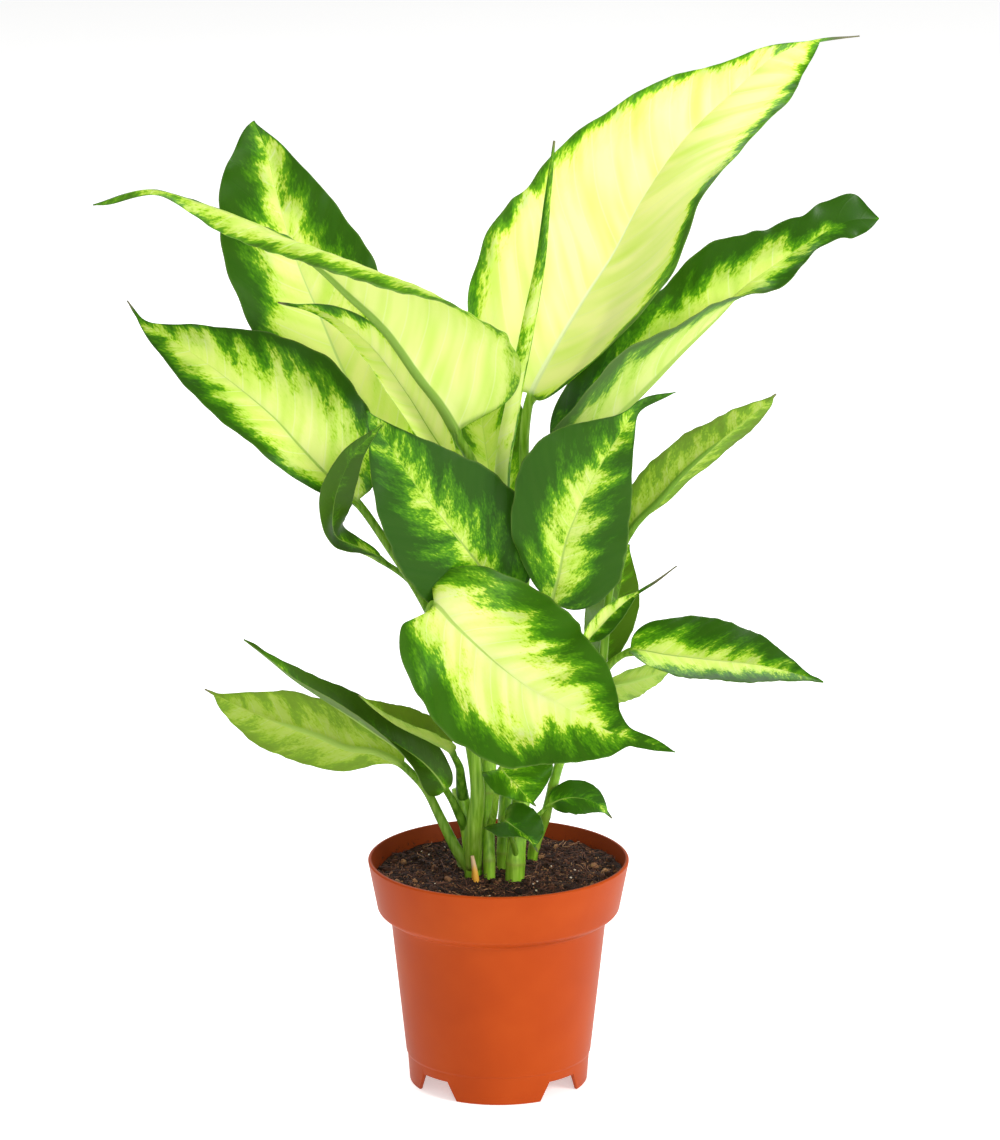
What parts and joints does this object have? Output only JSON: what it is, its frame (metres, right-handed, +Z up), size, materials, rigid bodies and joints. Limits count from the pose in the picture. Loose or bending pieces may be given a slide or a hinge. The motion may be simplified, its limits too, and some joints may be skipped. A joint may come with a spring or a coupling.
{
  "type": "potted dieffenbachia",
  "caption": "Leafy house plant with cream and green marbled leaves on upright canes, standing in a round terracotta-coloured nursery pot filled with soil.",
  "frame": {"origin": "on the ground plane under the middle of the pot, where its four feet stand", "axes": "+Z up along the pot and the plant, -Y towards the viewer of the picture, +X to the viewer's right"},
  "size_m": [0.3515, 0.209, 0.4696],
  "materials": {
    "pot_plastic": "smooth moulded terracotta-coloured plastic, satin",
    "soil": "dark moist peat with pale fibres, rough",
    "cane": "smooth green plant stem, satin",
    "shoot": "pale dry shoot, matt",
    "leaf": "glossy leaf, dark green edge and cream-yellow marbled middle"
  },
  "bodies": {
    "root": {"pot": "pot_plastic", "soil": "soil", "cane_left": "cane", "cane_centre": "cane", "cane_back": "cane", "cane_right": "cane", "cane_side": "cane", "shoot_yellow": "shoot", "shoot_pale": "shoot", "leaf_spear": "leaf", "leaf_front": "leaf", "leaf_centre_left": "leaf", "leaf_centre_right": "leaf", "leaf_tall_left": "leaf", "leaf_reaching_left": "leaf", "leaf_spread_left": "leaf", "leaf_rolled_left": "leaf", "leaf_creased_left": "leaf", "leaf_crown": "leaf", "leaf_trough_right": "leaf", "leaf_back": "leaf", "leaf_upright_right": "leaf", "leaf_dark_right": "leaf", "leaf_tailed_right": "leaf", "leaf_low_right": "leaf", "leaf_drooping_right": "leaf", "leaf_low_left_dark": "leaf", "leaf_low_left_pale": "leaf", "leaf_low_left_folded": "leaf", "leaf_small_under_front": "leaf", "leaf_small_heart": "leaf", "leaf_small_right": "leaf"}
  },
  "joints": []
}
